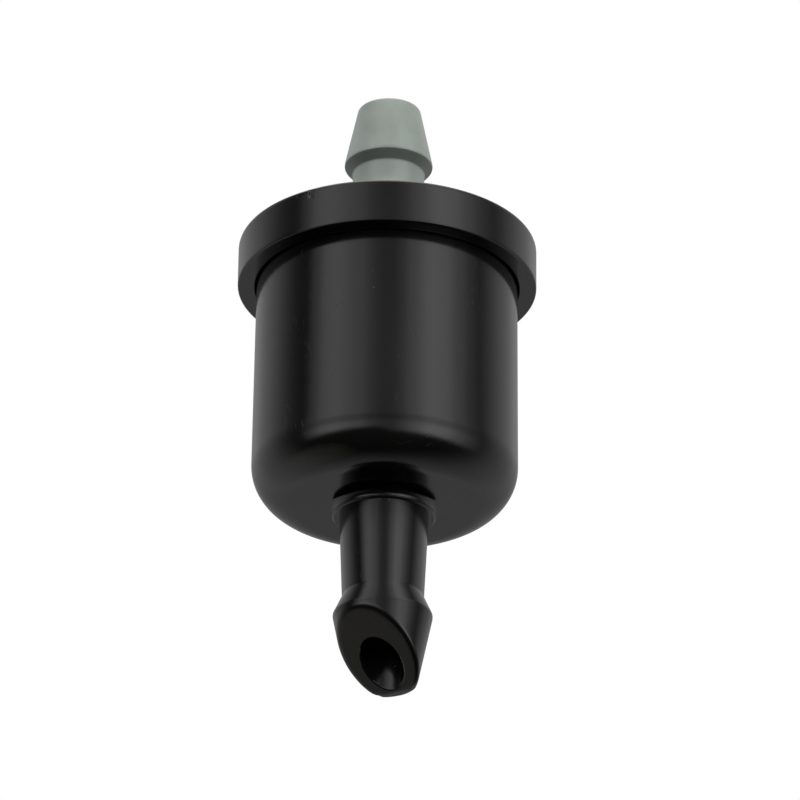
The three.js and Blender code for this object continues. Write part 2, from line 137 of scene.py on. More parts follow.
FLANGE_R = 5.5
FLANGE_TOP_Z = 14.82
BOSS_R = 2.9
OUTLET_ROOT = (2.3, 18.2)
OUTLET_STEM_LOW = (1.9, 19.2)
OUTLET_STEM_END_Z = 20.3
OUTLET_BARB_R = 2.34
OUTLET_BARB_Z = 20.8
OUTLET_TIP_R = 1.66

SEAL_BEAD = {"height": 0.06, "foot": 0.22, "crest": 0.16}  # half widths of the sealing bead
PLUNGER_HEAD_TOP_Z = 3.2
PLUNGER_STOP_R = 0.94
PLUNGER_STOP_Z = 4.68
PLUNGER_STEM_R = 0.7
SPRING_COIL_R = 1.12
SPRING_WIRE_R = 0.1
SPRING_TURNS = 5.5
SPRING_END_TURNS = 0.9  # closed turns at each end
SPRING_CLOSED_PITCH = 2.05 * SPRING_WIRE_R
SPRING_TOP_Z = 5.4  # underside of the guide's hub
GUIDE_HUB_R = 1.5
GUIDE_HUB_BORE_R = 0.78
GUIDE_RING_INNER_R = 4.4
GUIDE_RING_TOP_Z = 5.9
GUIDE_SPOKES = 4
GUIDE_SPOKE_WIDTH = 0.8

FILTER_LEDGE = 0.25  # reach of the frame's ledge under the edge of the mesh
FILTER_RECESS = 0.3  # reach of the recess for the mesh, out from the ledge's inner edge
FILTER_BAR_WIDTH = 0.6
WEAVE_PITCH = 0.3
WEAVE_EDGE = 0.1  # from the ends of the wires out to the edge of the rim
WEAVE_RIM = 0.15  # reach of the flat rim in from the ends of the wires
GASKET_INNER_R = 4.7
GASKET_GROOVE_DEPTH = 0.04

CORE_WELL_R = 2.5
CHANNEL_DEPTH = 0.75
CHANNEL_HEIGHT = 1.25
CHANNEL_LOW_ZS = (8.2, 10.4)  # lower side of each turn of the channel
TEETH_PER_TURN = 22
TOOTH_WIDTH = 0.42
TOOTH_HEIGHT = 0.78
TOOTH_SINK = 0.06  # reach of a tooth into the channel's back wall
TOOTH_LAP = 0.05  # reach of a tooth into the channel's side
PASSAGE_WIDTH = 0.55
PASSAGE_TURN = 0.8  # from the stop of a channel to its passage, in tooth pitches
PASSAGE_END = 0.3  # height in a channel that the passage from below reaches
PASSAGE_START = 0.6  # height in a channel where the passage upwards starts
CHAMBER_R = 3.3
METER_LIP_R = 1.0
METER_LIP_HEIGHT = 0.3
METER_GROOVE = {"width": 0.24, "depth": 0.1}
EXIT_HOLE_R = 0.45
PORT_HEIGHT = 0.5
THROTTLE_GAP = 0.3  # from the ledge that stops the diaphragm up to the metering lip
DIAPHRAGM_TRAVEL = 0.25
DIAPHRAGM_RING = {"inner": 2.9, "outer": 3.6, "slope": 0.2, "depth": 0.05}  # hollow ring in each face


# ---- Mesh helpers ----


def rounded(outline, steps=6):
    """The outline's points, rounded where a corner (r, z, reach) says how far away it starts to turn."""
    made = []
    for i, (r, z, *reach) in enumerate(outline):
        here = Vector((r, z))
        if not reach:
            made.append(here)
            continue
        back = Vector(outline[i - 1][:2]) - here
        ahead = Vector(outline[(i + 1) % len(outline)][:2]) - here
        length = min(reach[0], 0.48 * back.length, 0.48 * ahead.length)
        start = here + back.normalized() * length
        end = here + ahead.normalized() * length
        for k in range(steps + 1):
            t = k / steps
            made.append(start * (1 - t) ** 2 + here * (2 * t * (1 - t)) + end * t**2)
    return made


def densified(points, step=ROW_STEP, closed=True):
    """The same outline with long straight stretches split, so that no row is far from the next."""
    made = []
    count = len(points)
    for i in range(count if closed else count - 1):
        a, b = points[i], points[(i + 1) % count]
        parts = max(1, math.ceil((b - a).length / step))
        made += [a.lerp(b, k / parts) for k in range(parts)]
    return made if closed else made + [points[-1]]


def angles_round(count, features=()):
    """Angles round the axis, with extra ones close together where a feature needs them."""
    even = [2 * math.pi * i / count for i in range(count)]
    extra = [
        (centre + half_width * k / 8) % (2 * math.pi)
        for centre, half_width in features
        for k in range(-12, 13)
    ]
    close = 0.3 * 2 * math.pi / count
    kept = [a for a in even if all(abs(a - e) > close for e in extra)]
    return sorted(kept + extra)


def finished(name, mesh, material, sharp_degrees=38):
    """An object from a mesh in metres, smooth but for its sharp edges."""
    work = bmesh.new()
    work.from_mesh(mesh)
    bmesh.ops.remove_doubles(work, verts=work.verts, dist=2e-7)
    bmesh.ops.dissolve_degenerate(work, edges=work.edges, dist=1e-7)
    bmesh.ops.recalc_face_normals(work, faces=work.faces)
    work.to_mesh(mesh)
    work.free()
    mesh.shade_smooth()
    mesh.set_sharp_from_angle(angle=math.radians(sharp_degrees))
    mesh.materials.append(material)
    piece = bpy.data.objects.new(name, mesh)
    bpy.context.scene.collection.objects.link(piece)
    return piece


def turned(name, column, angles, material, closed=True):
    """A piece turned about Z. column(angle) gives the outline there as (radius, height) points."""
    columns = [column(a) for a in angles]
    rows = len(columns[0])
    points = [
        Vector((p.x * math.cos(a), p.x * math.sin(a), p.y)) * MM
        for a, points in zip(angles, columns)
        for p in points
    ]
    faces = []
    for j in range(len(angles)):
        left, right = j * rows, ((j + 1) % len(angles)) * rows
        for i in range(rows if closed else rows - 1):
            up = (i + 1) % rows
            faces.append((left + i, left + up, right + up, right + i))
    mesh = bpy.data.meshes.new(name)
    mesh.from_pydata(points, [], faces)
    return finished(name, mesh, material)


def placed(piece, node, body):
    """The piece stands for a CAD node, which it hides, and moves with a body."""
    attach(piece, body)
    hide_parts(node)
    return piece


# ---- Materials ----


def new_material(name, colour, roughness, metallic=0.0):
    """A Principled material, its node tree and its shader."""
    material = bpy.data.materials.new(name)
    material.use_nodes = True
    tree = material.node_tree
    shader = tree.nodes["Principled BSDF"]
    shader.inputs["Base Color"].default_value = (*colour, 1)
    shader.inputs["Roughness"].default_value = roughness
    shader.inputs["Metallic"].default_value = metallic
    return material, tree, shader


def node(tree, kind, **values):
    """A node of that kind; a value whose name is an input goes to the input, any other to the node."""
    made = tree.nodes.new(kind)
    for key, value in values.items():
        label = key.replace("_", " ")
        if label in made.inputs:
            made.inputs[label].default_value = value
        else:
            setattr(made, key, value)
    return made


def stretched_place(tree, scale, turn=(0, 0, 0)):
    """Object coordinates turned and scaled, for a texture with a direction."""
    coordinates = node(tree, "ShaderNodeTexCoord")
    mapping = node(tree, "ShaderNodeMapping")
    mapping.inputs["Scale"].default_value = scale
    mapping.inputs["Rotation"].default_value = [math.radians(x) for x in turn]
    tree.links.new(coordinates.outputs["Object"], mapping.inputs["Vector"])
    return mapping.outputs["Vector"]


def noise(tree, place, scale, detail=4.0, roughness=0.55):
    """A cloudy pattern from 0 to 1."""
    made = node(tree, "ShaderNodeTexNoise", Scale=scale, Detail=detail, Roughness=roughness)
    tree.links.new(place, made.inputs["Vector"])
    return made.outputs["Fac"]


def ramp(tree, value, low, high, from_value=0.0, to_value=1.0):
    """value between low and high, spread from from_value to to_value and clamped."""
    made = node(tree, "ShaderNodeMapRange")
    made.inputs["From Min"].default_value = low
    made.inputs["From Max"].default_value = high
    made.inputs["To Min"].default_value = from_value
    made.inputs["To Max"].default_value = to_value
    tree.links.new(value, made.inputs["Value"])
    return made.outputs["Result"]


def smooth(tree, value, low, high, from_value=0.0, to_value=1.0):
    """As ramp, but with soft ends."""
    made = ramp(tree, value, low, high, from_value, to_value)
    made.node.interpolation_type = "SMOOTHSTEP"
    return made


def combined(tree, operation, a, b):
    """The result of a Math node, whose two values may be sockets or plain numbers."""
    made = node(tree, "ShaderNodeMath", operation=operation)
    for socket, value in zip(made.inputs, (a, b)):
        if isinstance(value, (int, float)):
            socket.default_value = value
        else:
            tree.links.new(value, socket)
    return made.outputs["Value"]


def mixed_colour(tree, factor, colour_a, colour_b):
    """colour_a where the factor is 0, colour_b where it is 1; each may be a socket or a plain colour."""
    made = node(tree, "ShaderNodeMix", data_type="RGBA")
    for index, colour in ((6, colour_a), (7, colour_b)):
        if isinstance(colour, (tuple, list)):
            made.inputs[index].default_value = (*colour, 1)
        else:
            tree.links.new(colour, made.inputs[index])
    tree.links.new(factor, made.inputs[0])
    return made.outputs[2]


def bumped(tree, shader, height, distance, strength=1.0):
    """Adds a height in metres to the shader's normal, over any bump that it already has."""
    bump = node(tree, "ShaderNodeBump", Strength=strength, Distance=distance)
    tree.links.new(height, bump.inputs["Height"])
    socket = shader.inputs["Normal"]
    if socket.links:
        tree.links.new(socket.links[0].from_socket, bump.inputs["Normal"])
    tree.links.new(bump.outputs["Normal"], socket)


def scratches(tree, turn, density, scale=760.0):
    """Hairline marks in one direction, 1 on a mark and 0 elsewhere."""
    place = stretched_place(tree, (1, 30, 1.6), turn)
    lines = noise(tree, place, scale, 2.0, 0.4)
    where = noise(tree, stretched_place(tree, (1, 1, 1)), 420.0, 1.0)
    thin = ramp(tree, lines, density, density + 0.02)
    return combined(tree, "MULTIPLY", thin, ramp(tree, where, 0.5, 0.62))


def specks(tree, scale, radius, share):
    """Round dust specks: radius is in cells of the pattern, share says how many cells have one."""
    place = stretched_place(tree, (1, 1, 1))
    cells = node(tree, "ShaderNodeTexVoronoi", Scale=scale)
    tree.links.new(place, cells.inputs["Vector"])
    chosen = node(tree, "ShaderNodeSeparateColor")
    tree.links.new(cells.outputs["Color"], chosen.inputs["Color"])
    dot = ramp(tree, cells.outputs["Distance"], radius, radius * 0.5)
    return combined(tree, "MULTIPLY", dot, ramp(tree, chosen.outputs["Red"], 1 - share, 1 - share + 0.01))


def facing(tree, direction):
    """How far the surface looks that way: 1 straight along the direction, -1 straight against it."""
    along = node(tree, "ShaderNodeVectorMath", operation="DOT_PRODUCT")
    tree.links.new(node(tree, "ShaderNodeNewGeometry").outputs["Normal"], along.inputs[0])
    along.inputs[1].default_value = direction
    return along.outputs["Value"]


def black_plastic(name, roughness, dust):
    """Glossy moulded black polypropylene: cloudy gloss, faint waves, hairline scratches and dust.

    The slanted cut of the inlet is sheared, so it is duller; its paler colour is partly the sheared
    surface and partly painted light from below-left.
    """
    material, tree, shader = new_material(name, (0.008, 0.008, 0.0075), roughness)
    shader.inputs["IOR"].default_value = 1.5
    place = stretched_place(tree, (1, 1, 1))
    cloud = noise(tree, place, 240.0, 4.0)
    marks = combined(
        tree, "MAXIMUM", scratches(tree, (20, 35, 30), 0.69), scratches(tree, (70, -25, -50), 0.7)
    )
    dusty = specks(tree, 1500.0, 0.08, dust)
    colour = mixed_colour(tree, cloud, (0.006, 0.0062, 0.0056), (0.0105, 0.0102, 0.0096))
    colour = mixed_colour(tree, ramp(tree, marks, 0, 1, 0, 0.25), colour, (0.04, 0.04, 0.038))
    colour = mixed_colour(tree, ramp(tree, dusty, 0, 1, 0, 0.5), colour, (0.12, 0.115, 0.105))
    # Faces that look along the cut get more roughness and a paler colour, partly for the shearing and
    # partly as painted light from below-left.
    sheared_and_painted_light = ramp(tree, facing(tree, CUT_OUTWARD), 0.97, 0.995)
    colour = mixed_colour(tree, sheared_and_painted_light, colour, (0.034, 0.032, 0.028))
    tree.links.new(colour, shader.inputs["Base Color"])
    gloss = ramp(tree, cloud, 0.3, 0.7, roughness - 0.03, roughness + 0.05)
    gloss = combined(tree, "ADD", gloss, ramp(tree, sheared_and_painted_light, 0, 1, 0, 0.12))
    gloss = combined(tree, "ADD", gloss, ramp(tree, marks, 0, 1, 0, 0.12))
    gloss = combined(tree, "ADD", gloss, ramp(tree, dusty, 0, 1, 0, 0.25))
    tree.links.new(gloss, shader.inputs["Roughness"])
    bumped(tree, shader, noise(tree, place, 320.0, 1.0), 0.00001)
    bumped(tree, shader, noise(tree, place, 5200.0, 2.0), 0.0000006)
    bumped(tree, shader, marks, -0.0000015)
    return material


def grey_plastic(name, colour, roughness=0.4):
    """Satin moulded grey: cloudy pigment, faint flow lines along Z, fine grain, and painted shade
    darkening the faces that look down.
    """
    material, tree, shader = new_material(name, colour, roughness)
    place = stretched_place(tree, (1, 1, 1))
    cloud = noise(tree, place, 380.0, 5.0)
    flow = noise(tree, stretched_place(tree, (1, 1, 0.12)), 1500.0, 3.0)
    darker = tuple(c * 0.86 for c in colour)
    lighter = tuple(min(1.0, c * 1.1) for c in colour)
    mixed = mixed_colour(tree, ramp(tree, cloud, 0.3, 0.7), darker, lighter)
    mixed = mixed_colour(tree, ramp(tree, flow, 0.45, 0.75, 0, 0.25), mixed, lighter)
    # Painted shade: faces that look down get a colour 0.4 times as bright, standing in for the shade under
    # the outlet's barb.
    painted_shade = tuple(c * 0.4 for c in colour)
    mixed = mixed_colour(tree, ramp(tree, facing(tree, (0, 0, 1)), -0.6, -0.3), painted_shade, mixed)
    tree.links.new(mixed, shader.inputs["Base Color"])
    gloss = ramp(tree, cloud, 0.3, 0.7, roughness - 0.05, roughness + 0.07)
    tree.links.new(gloss, shader.inputs["Roughness"])
    bumped(tree, shader, noise(tree, place, 300.0, 1.0), 0.00001)
    bumped(tree, shader, noise(tree, place, 6000.0, 2.0), 0.000002)
    return material


def rubber(name, colour, roughness):
    """Moulded elastomer: dull, with a fine matt grain and bloom."""
    material, tree, shader = new_material(name, colour, roughness)
    place = stretched_place(tree, (1, 1, 1))
    bloom = noise(tree, place, 900.0, 5.0)
    lighter = tuple(min(1.0, c * 1.5 + 0.01) for c in colour)
    mixed = mixed_colour(tree, ramp(tree, bloom, 0.4, 0.75), colour, lighter)
    tree.links.new(mixed, shader.inputs["Base Color"])
    gloss = ramp(tree, bloom, 0.3, 0.7, roughness - 0.08, roughness + 0.08)
    tree.links.new(gloss, shader.inputs["Roughness"])
    bumped(tree, shader, noise(tree, place, 7000.0, 3.0), 0.000004)
    return material


def steel(name, roughness):
    """Drawn stainless wire: fine lines along the draw and a slightly uneven polish."""
    material, tree, shader = new_material(name, (0.6, 0.61, 0.62), roughness, 1.0)
    place = stretched_place(tree, (1, 1, 6))
    lines = noise(tree, place, 4000.0, 3.0)
    mixed = mixed_colour(tree, lines, (0.5, 0.505, 0.51), (0.66, 0.67, 0.68))
    tree.links.new(mixed, shader.inputs["Base Color"])
    gloss = ramp(tree, lines, 0.3, 0.7, roughness - 0.06, roughness + 0.1)
    tree.links.new(gloss, shader.inputs["Roughness"])
    bumped(tree, shader, lines, 0.000002)
    return material


BLACK_SHELL = black_plastic("black_shell", 0.15, 0.05)
BLACK_CAP = black_plastic("black_cap", 0.18, 0.03)
GREY_OUTLET = grey_plastic("grey_outlet", (0.43, 0.485, 0.44), 0.34)
GREY_CORE = grey_plastic("grey_core", (0.3, 0.33, 0.31), 0.45)
NATURAL_PLASTIC = grey_plastic("natural_plastic", (0.72, 0.7, 0.62), 0.42)
SILICONE = rubber("silicone", (0.55, 0.36, 0.2), 0.45)
BLACK_RUBBER = rubber("black_rubber", (0.02, 0.02, 0.02), 0.6)
SPRING_STEEL = steel("spring_steel", 0.25)
STEEL_MESH = steel("steel_mesh", 0.35)


# ---- Body: bowl, collar and inlet barb ----


def bowl_corner(steps=40):
    """The rounded corner of the bowl, from its straight wall down to its flat underside."""
    made = []
    for i in range(steps + 1):
        angle = math.pi / 2 * (1 - i / steps)
        r = BOWL_LOW_R - BOWL_CORNER_R * (1 - math.sin(angle))
        made.append((r, BOWL_FLOOR_Z + BOWL_CORNER_R * (1 - math.cos(angle))))
    return made


def neck_fillet(steps=12):
    """The hollow fillet over the collar, from the bowl's flat underside down to the collar's top."""
    radius = BOWL_FLOOR_Z - COLLAR_TOP_Z
    made = []
    for i in range(steps + 1):
        angle = math.pi / 2 * (1 - i / steps)
        made.append((NECK_R + radius * (1 - math.cos(angle)), COLLAR_TOP_Z + radius * math.sin(angle)))
    return made


def stem_oval(z, angle):
    """Radius of the oval inlet stem at a height and an angle round the axis."""
    share = (z - INLET_STEM_END[1]) / (COLLAR_LOW_Z - INLET_STEM_END[1])
    width = INLET_STEM_END[0] + (INLET_STEM_TOP_R - INLET_STEM_END[0]) * share
    flare = max(0.0, (z - FLARE_Z) / (COLLAR_LOW_Z - FLARE_Z))
    depth = STEM_DEPTH_R + FLARE_REACH * flare**2
    return width * depth / math.hypot(depth * math.cos(angle), width * math.sin(angle))


def made_oval(p, angle):
    """A point of the turned outline, pushed out where it belongs to the stem or the barb's back."""
    if not INLET_BARB_Z < p.y < COLLAR_LOW_Z + 0.001:
        return p
    if p.y > INLET_STEM_END[1]:
        return Vector((max(p.x, stem_oval(p.y, angle)), p.y))
    share = (p.y - INLET_BARB_Z) / (INLET_STEM_END[1] - INLET_BARB_Z)
    back = INLET_BARB_R + (stem_oval(INLET_STEM_END[1], angle) - INLET_BARB_R) * share
    return Vector((max(p.x, back), p.y))


def barb_outline():
    """The inlet's outer outline from the lower edge of the barb down to the bore at the tip."""
    return densified(
        rounded(
            [
                (INLET_BARB_R, INLET_BARB_Z - BARB_EDGE / 2),
                (INLET_BARB_R, INLET_BARB_Z - BARB_EDGE, 0.05),
                (INLET_TIP_R, INLET_TIP_Z, 0.16),
                (0.8 * BORE_R, INLET_TIP_Z),
            ]
        ),
        0.03,
        closed=False,
    )


BARB_OUTLINE = barb_outline()
FINE_ROWS = 400  # rows that find the place on the barb where the cut's rounding starts
BARB_ROWS, FACE_ROWS, BORE_ROWS, EDGE_ROWS = 60, 12, 30, 7


def cut_height(r, angle):
    """Height of the slanted cut at a radius and an angle round the axis."""
    toward = math.cos(angle + math.pi / 2 + CUT_TURN)
    return CUT_AXIS_Z + r * toward / math.tan(CUT_TILT)


def outline_to_cut(angle):
    """The part of the barb's outline that the cut leaves, and the point where they meet."""
    kept = [BARB_OUTLINE[0]]
    for a, b in zip(BARB_OUTLINE, BARB_OUTLINE[1:]):
        above_a = a.y - cut_height(a.x, angle)
        above_b = b.y - cut_height(b.x, angle)
        if above_b < 0:
            return kept, a.lerp(b, above_a / (above_a - above_b))
        kept.append(b)
    return kept[:-1], kept[-1]


def resampled(points, count):
    """count + 1 points evenly spaced along a run of points."""
    lengths = [0.0]
    for a, b in zip(points, points[1:]):
        lengths.append(lengths[-1] + (b - a).length)
    made, i = [], 0
    for k in range(count + 1):
        target = lengths[-1] * k / count
        while i < len(points) - 2 and lengths[i + 1] < target:
            i += 1
        span = lengths[i + 1] - lengths[i]
        made.append(points[i].lerp(points[i + 1], (target - lengths[i]) / span if span > 0 else 0.0))
    return made


def inlet_tip(angle):
    """Outline of the inlet at one angle, from the barb's lower edge round the cut into the bore."""
    kept, corner = outline_to_cut(angle)
    run = kept + [corner]
    total = sum((b - a).length for a, b in zip(run, run[1:]))
    outer = resampled(run, FINE_ROWS)
    turn_at = max(0, round(FINE_ROWS * (1 - min(CUT_EDGE, 0.6 * total) / total)))
    outer = outer[: turn_at + 1]
    bore_edge = Vector((BORE_R, cut_height(BORE_R, angle)))
    inward = bore_edge - corner
    reach = min(CUT_EDGE, 0.45 * inward.length)
    start, end = outer[-1], corner + inward.normalized() * reach
    rim = [
        start * (1 - t) ** 2 + corner * (2 * t * (1 - t)) + end * t**2
        for t in (k / EDGE_ROWS for k in range(1, EDGE_ROWS))
    ]
    lip_start = bore_edge - inward.normalized() * min(CUT_BORE_EDGE, 0.3 * inward.length)
    face = [end.lerp(lip_start, k / FACE_ROWS) for k in range(FACE_ROWS + 1)]
    lip = [bore_edge + Vector((0, rise)) for rise in (CUT_BORE_EDGE, 1.5 * CUT_BORE_EDGE)]
    bore_top = Vector((BORE_R, BORE_TOP_Z))
    bore = [lip[-1].lerp(bore_top, k / BORE_ROWS) for k in range(1, BORE_ROWS)]
    return resampled(outer, BARB_ROWS) + rim + face + lip + bore


def body_shell():
    """The bowl with its collar and inlet: all rows are turned but for the oval stem and the cut tip."""
    fixed = rounded(
        [
            (BORE_R, BORE_TOP_Z),
            (BORE_R, SEAT_LIP_Z, 0.05),
            (SEAT_LIP_R, SEAT_LIP_Z, 0.08),
            (SEAT_LIP_R + 0.2, CAVITY_FLOOR_Z, 0.1),
            (CAVITY_LOW_R - CAVITY_CHAMFER, CAVITY_FLOOR_Z, 0.4),
            (CAVITY_LOW_R, CAVITY_FLOOR_Z + CAVITY_CHAMFER, 0.4),
            (CAVITY_LOW_R, LEDGE_Z, 0.06),
            (CAVITY_R, LEDGE_Z, 0.06),
            (CAVITY_R, RIM_Z, 0.1),
            (BOWL_TOP_R, RIM_Z, 0.06),
            (BEAD_R, BEAD_Z, 0.1),
            (BOWL_TOP_R, BEAD_LOW_Z, 0.06),
            *bowl_corner(),
            *neck_fillet(),
            (COLLAR_R, COLLAR_TOP_Z, COLLAR_TOP_ROUND),
            (COLLAR_R, COLLAR_LOW_Z + COLLAR_LOW_EDGE, 0.02),
            (COLLAR_R - COLLAR_LOW_EDGE, COLLAR_LOW_Z, 0.02),
            (INLET_STEM_TOP_R, COLLAR_LOW_Z),
            (*INLET_STEM_END, 0.12),
            (INLET_BARB_R, INLET_BARB_Z, 0.05),
            (INLET_BARB_R, INLET_BARB_Z - BARB_EDGE / 2),
        ]
    )
    fixed = densified(fixed, closed=False)[:-1]

    def column(angle):
        return [made_oval(p, angle) for p in fixed] + inlet_tip(angle)

    piece = turned("body_shell", column, angles_round(FINE_SIDES), BLACK_SHELL)
    return placed(piece, "body", "shell")


# ---- Cap ring ----


def cap_ring():
    """The ring cap, whose top edge is dented by the pry notch."""
    groove_half, groove_depth = OUTLET_SEAL_GROOVE
    base = densified(
        rounded(
            [
                (SKIRT_R, CAP_BOTTOM_Z, 0.05),
                (CAP_R, CAP_BOTTOM_Z, CAP_BOTTOM_ROUND),
                (CAP_R, CAP_TOP_Z, CAP_TOP_ROUND),
                (CAP_HOLE_R, CAP_TOP_Z, 0.08),
                (CAP_HOLE_R, CAP_PLATE_Z, 0.05),
                (OUTLET_SEAL_R - groove_half, CAP_PLATE_Z, 0.03),
                (OUTLET_SEAL_R - groove_half, CAP_PLATE_Z + groove_depth, 0.08),
                (OUTLET_SEAL_R + groove_half, CAP_PLATE_Z + groove_depth, 0.08),
                (OUTLET_SEAL_R + groove_half, CAP_PLATE_Z, 0.03),
                (SKIRT_GROOVE_R, CAP_PLATE_Z, 0.1),
                (SKIRT_GROOVE_R, SKIRT_GROOVE_Z, 0.06),
                (SKIRT_R, SKIRT_LIP_Z, 0.06),
            ]
        ),
        0.16,
    )
    centre = math.radians(NOTCH["turn"]) % (2 * math.pi)
    half_angle = NOTCH["half_width"] / CAP_R
    side_start, side_end = NOTCH_SIDE

    def column(angle):
        away = abs((angle - centre + math.pi) % (2 * math.pi) - math.pi) / half_angle
        share = max(0.0, min(1.0, (side_end - away) / (side_end - side_start)))
        dented_r = CAP_R - NOTCH["depth"] * share
        made = []
        for p in base:
            in_notch = p.x > CAP_R - NOTCH["reach"] and p.y > CAP_TOP_Z - NOTCH["height"]
            made.append(Vector((min(p.x, dented_r), p.y)) if in_notch else p)
        return made

    angles = angles_round(FINE_SIDES, [(centre, half_angle)])
    return placed(turned("cap_ring", column, angles, BLACK_CAP), "cap", "shell")


# ---- Grey outlet ----


def outlet_barb():
    """The outlet fitting: flange, boss, root, stem and barb, with a bore right through."""
    outline = densified(
        rounded(
            [
                (BORE_R, OUTLET_LOW.z, 0.05),
                (FLANGE_R, OUTLET_LOW.z, 0.06),
                (FLANGE_R, FLANGE_TOP_Z, 0.06),
                (BOSS_R, FLANGE_TOP_Z, 0.06),
                (BOSS_R, CAP_TOP_Z, 0.06),
                (OUTLET_ROOT[0], CAP_TOP_Z, 0.12),
                (*OUTLET_ROOT, 0.4),
                (*OUTLET_STEM_LOW, 0.4),
                (OUTLET_STEM_LOW[0], OUTLET_STEM_END_Z, 0.12),
                (OUTLET_BARB_R, OUTLET_BARB_Z, 0.06),
                (OUTLET_BARB_R, OUTLET_BARB_Z + BARB_EDGE, 0.06),
                (OUTLET_TIP_R, OUTLET_HIGH.z, 0.16),
                (BORE_R, OUTLET_HIGH.z, 0.08),
            ]
        )
    )
    piece = turned("outlet_barb", lambda angle: outline, angles_round(FINE_SIDES), GREY_OUTLET)
    return placed(piece, "outlet_fitting", "shell")


# ---- Seals ----


def seal_ring(name, cad_node):
    """An O-ring with the fine flash line that its mould leaves round the outside and the inside."""
    low, high = box_mm(cad_node)
    wire_r = (high.z - low.z) / 2
    coil_r = high.x - wire_r
    middle_z = (low.z + high.z) / 2
    half_sides = 16
    outline = []
    for k in range(2 * half_sides):
        angle = math.pi * k / half_sides
        beside_flash = k % half_sides in (1, half_sides - 1)
        r = wire_r * (FLASH_DIP if beside_flash else 1.0)
        outline.append(Vector((coil_r + r * math.cos(angle), middle_z + r * math.sin(angle))))
    piece = turned(name, lambda angle: outline, angles_round(INNER_SIDES), BLACK_RUBBER)
    return placed(piece, cad_node, "shell")


def core_gasket():
    """A flat gasket with a shallow sealing groove in each face."""
    low, high = box_mm("core_gasket")
    inner_r, outer_r = GASKET_INNER_R, high.x
    third = (outer_r - inner_r) / 3
    outline = rounded(
        [
            (inner_r, low.z, 0.05),
            (inner_r + third, low.z),
            (inner_r + 1.5 * third, low.z + GASKET_GROOVE_DEPTH, 0.1),
            (inner_r + 2 * third, low.z),
            (outer_r, low.z, 0.05),
            (outer_r, high.z, 0.05),
            (inner_r + 2 * third, high.z),
            (inner_r + 1.5 * third, high.z - GASKET_GROOVE_DEPTH, 0.1),
            (inner_r + third, high.z),
            (inner_r, high.z, 0.05),
        ]
    )
    piece = turned("flat_gasket", lambda angle: outline, angles_round(INNER_SIDES), SILICONE)
    return placed(piece, "core_gasket", "shell")


# ---- Anti-drain check ----


def sealing_disc():
    """The rubber disc of the plunger, with a rounded rim and a raised sealing bead underneath."""
    low, high = box_mm("plunger_seal")
    bead_r = (SEAT_LIP_R + BORE_R) / 2
    foot, crest = SEAL_BEAD["foot"], SEAL_BEAD["crest"]
    face_z = low.z + SEAL_BEAD["height"]
    outline = rounded(
        [
            (0, face_z),
            (bead_r - foot, face_z, 0.05),
            (bead_r - crest, low.z, 0.05),
            (bead_r + crest, low.z, 0.05),
            (bead_r + foot, face_z, 0.05),
            (high.x, face_z, 0.12),
            (high.x, high.z, 0.06),
            (0, high.z),
        ]
    )
    piece = turned("sealing_disc", lambda angle: outline, angles_round(INNER_SIDES), BLACK_RUBBER)
    return placed(piece, "plunger_seal", "plunger")


def lifting_plunger():
    """The plunger: a head with a pocket for the seal, a stop shoulder and a stem with a domed end."""
    low, high = box_mm("check_plunger")
    seal_high = box_mm("plunger_seal")[1]
    pocket_z = seal_high.z
    pocket_r = seal_high.x + FIT_GAP
    outline = rounded(
        [
            (0, pocket_z),
            (pocket_r, pocket_z, 0.05),
            (pocket_r, low.z, 0.05),
            (high.x, low.z, 0.08),
            (high.x, PLUNGER_HEAD_TOP_Z, 0.2),
            (PLUNGER_STOP_R, PLUNGER_HEAD_TOP_Z, 0.04),
            (PLUNGER_STOP_R, PLUNGER_STOP_Z, 0.06),
            (PLUNGER_STEM_R, PLUNGER_STOP_Z, 0.05),
            (PLUNGER_STEM_R, high.z, 0.3),
            (0, high.z),
        ]
    )
    piece = turned("lifting_plunger", lambda angle: outline, angles_round(INNER_SIDES), NATURAL_PLASTIC)
    return placed(piece, "check_plunger", "plunger")


def swept(route, radius, sides):
    """Points and faces of a closed round wire along a route that is never vertical."""
    points, faces = [], []
    for i, here in enumerate(route):
        along = (route[min(i + 1, len(route) - 1)] - route[max(i - 1, 0)]).normalized()
        side = along.cross(Vector((0, 0, 1))).normalized()
        over = side.cross(along)
        for k in range(sides):
            angle = 2 * math.pi * k / sides
            points.append((here + (side * math.cos(angle) + over * math.sin(angle)) * radius) * MM)
    for i in range(len(route) - 1):
        for k in range(sides):
            near, far = i * sides + k, i * sides + (k + 1) % sides
            faces.append((near, far, far + sides, near + sides))
    last = len(points) - sides
    faces.append(tuple(range(sides)))
    faces.append(tuple(range(last, last + sides)))
    return points, faces


